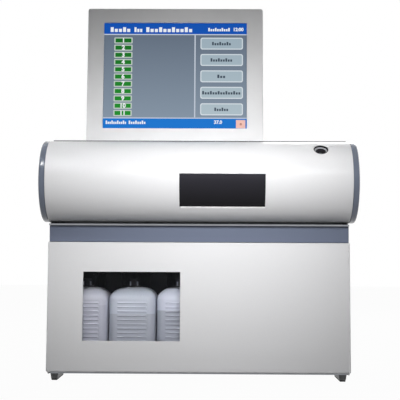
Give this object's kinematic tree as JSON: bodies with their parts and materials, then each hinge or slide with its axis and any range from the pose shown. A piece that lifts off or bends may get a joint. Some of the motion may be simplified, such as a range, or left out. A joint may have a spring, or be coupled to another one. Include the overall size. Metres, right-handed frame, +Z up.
{
  "type": "blood gas analyzer",
  "caption": "Bench-top blood gas analyzer: a barrel-shaped hood with a viewing window and sample port, a reagent drawer with a bottle window below, and a tilting touch display on top.",
  "frame": {"origin": "on the bench, under the middle of the whole box, under the skids' rubber pads", "axes": "+X to the operator's right, -Y towards the operator, +Z up"},
  "size_m": [0.4388, 0.34, 0.5405],
  "materials": {
    "silver_paint": "satin silver-white paint",
    "display_plastic": "satin moulded",
    "display_back_plastic": "fine texture",
    "blue_grey_plastic": "semi-gloss",
    "blue_grey_paint": "satin",
    "zinc_steel": "zinc plated",
    "bright_steel": "polished",
    "skid_grey": "satin",
    "black_rubber": "matte",
    "smoked_acrylic": "gloss",
    "clear_acrylic": "clear gloss",
    "black_plastic": "matte",
    "grey_tray": "matte",
    "charcoal_plastic": "matte",
    "white_plastic": "matte",
    "silicone_hose": "translucent",
    "chamber_aluminium": "machined",
    "electrode_red": "gloss",
    "board_green": "solder mask",
    "nickel_plate": "nickel plated",
    "milky_bottle": "translucent satin",
    "reagent": "liquid seen through the bottle",
    "waste_plastic": "satin",
    "screen_glass": "gloss"
  },
  "bodies": {
    "chassis": {"base_plate": "zinc_steel", "skids": "skid_grey", "foot_pads": "black_rubber", "left_side_panel": "silver_paint", "right_side_panel": "silver_paint", "rear_panel": "silver_paint", "top_deck": "silver_paint", "left_end_cap": "blue_grey_plastic", "right_end_cap": "blue_grey_plastic", "trim_band": "blue_grey_paint", "front_crossbar": "zinc_steel", "bay_shelf": "zinc_steel", "bay_backplate": "zinc_steel", "outer_rails": "zinc_steel", "rear_bumpers": "black_rubber", "case_screws": "bright_steel", "hinge_fixed_leaf": "bright_steel", "hinge_pin": "bright_steel", "pump_body": "charcoal_plastic", "pump_motor": "zinc_steel", "pump_hose": "silicone_hose", "measuring_chamber": "chamber_aluminium", "electrodes": "electrode_red", "valve_block": "white_plastic", "solenoid_valves": "black_plastic", "sampler_block": "charcoal_plastic", "sample_inlet": "white_plastic", "fluid_lines": "silicone_hose", "main_board": "board_green", "power_supply": "chamber_aluminium", "fan_housing": "black_plastic", "power_inlet": "black_plastic", "interface_panel": "nickel_plate", "display_stand": "zinc_steel", "tilt_shaft": "bright_steel"},
    "hood": {"hood_shell": "silver_paint", "hood_window": "smoked_acrylic", "port_ring": "black_plastic", "hinge_moving_leaf": "bright_steel"},
    "slide_carriage": {"mid_rails": "zinc_steel"},
    "drawer": {"inner_rails": "zinc_steel", "drawer_front": "silver_paint", "bottle_window": "clear_acrylic", "drawer_tray": "grey_tray", "bottle_backboard": "black_plastic", "left_bottle": "milky_bottle", "middle_bottle": "milky_bottle", "right_bottle": "milky_bottle", "bottle_caps": "charcoal_plastic", "reagent_fill": "reagent", "pickup_tubes": "silicone_hose", "waste_container": "waste_plastic", "gas_cartridges": "chamber_aluminium"},
    "display": {"display_bezel": "display_plastic", "display_back": "display_back_plastic", "touch_screen": "screen_glass"},
    "pump_rotor": {"pump_rotor": "white_plastic", "pump_rollers": "bright_steel"},
    "fan_impeller": {"fan_impeller": "black_plastic"},
    "power_rocker": {"power_rocker": "black_plastic"}
  },
  "joints": [
    {"name": "hood_hinge", "type": "hinge", "parent": "chassis", "child": "hood", "pos_m": [0, -0.1095, 0.3362], "axis": [-1, 0, 0], "range_deg": [0, 95]},
    {"name": "drawer_slide", "type": "slide", "parent": "chassis", "child": "drawer", "axis": [0, -1, 0], "range_m": [0, 0.16]},
    {"name": "carriage_slide", "type": "slide", "parent": "chassis", "child": "slide_carriage", "axis": [0, -1, 0], "range_m": [0, 0.08]},
    {"name": "display_tilt", "type": "hinge", "parent": "chassis", "child": "display", "pos_m": [-0.0368, -0.04431, 0.35191], "axis": [-1, 0, 0], "range_deg": [-3, 25]},
    {"name": "pump_spin", "type": "hinge", "parent": "chassis", "child": "pump_rotor", "pos_m": [-0.15, -0.138, 0.27], "axis": [0, -1, 0], "continuous": true},
    {"name": "fan_spin", "type": "hinge", "parent": "chassis", "child": "fan_impeller", "pos_m": [-0.15, 0.15, 0.285], "axis": [0, -1, 0], "continuous": true},
    {"name": "rocker_switch", "type": "hinge", "parent": "chassis", "child": "power_rocker", "pos_m": [0.15, 0.157, 0.288], "axis": [-1, 0, 0], "range_deg": [0, 16]}
  ],
  "couplings": [
    {"joint": "carriage_slide", "follows": "drawer_slide", "ratio": 0.5}
  ]
}
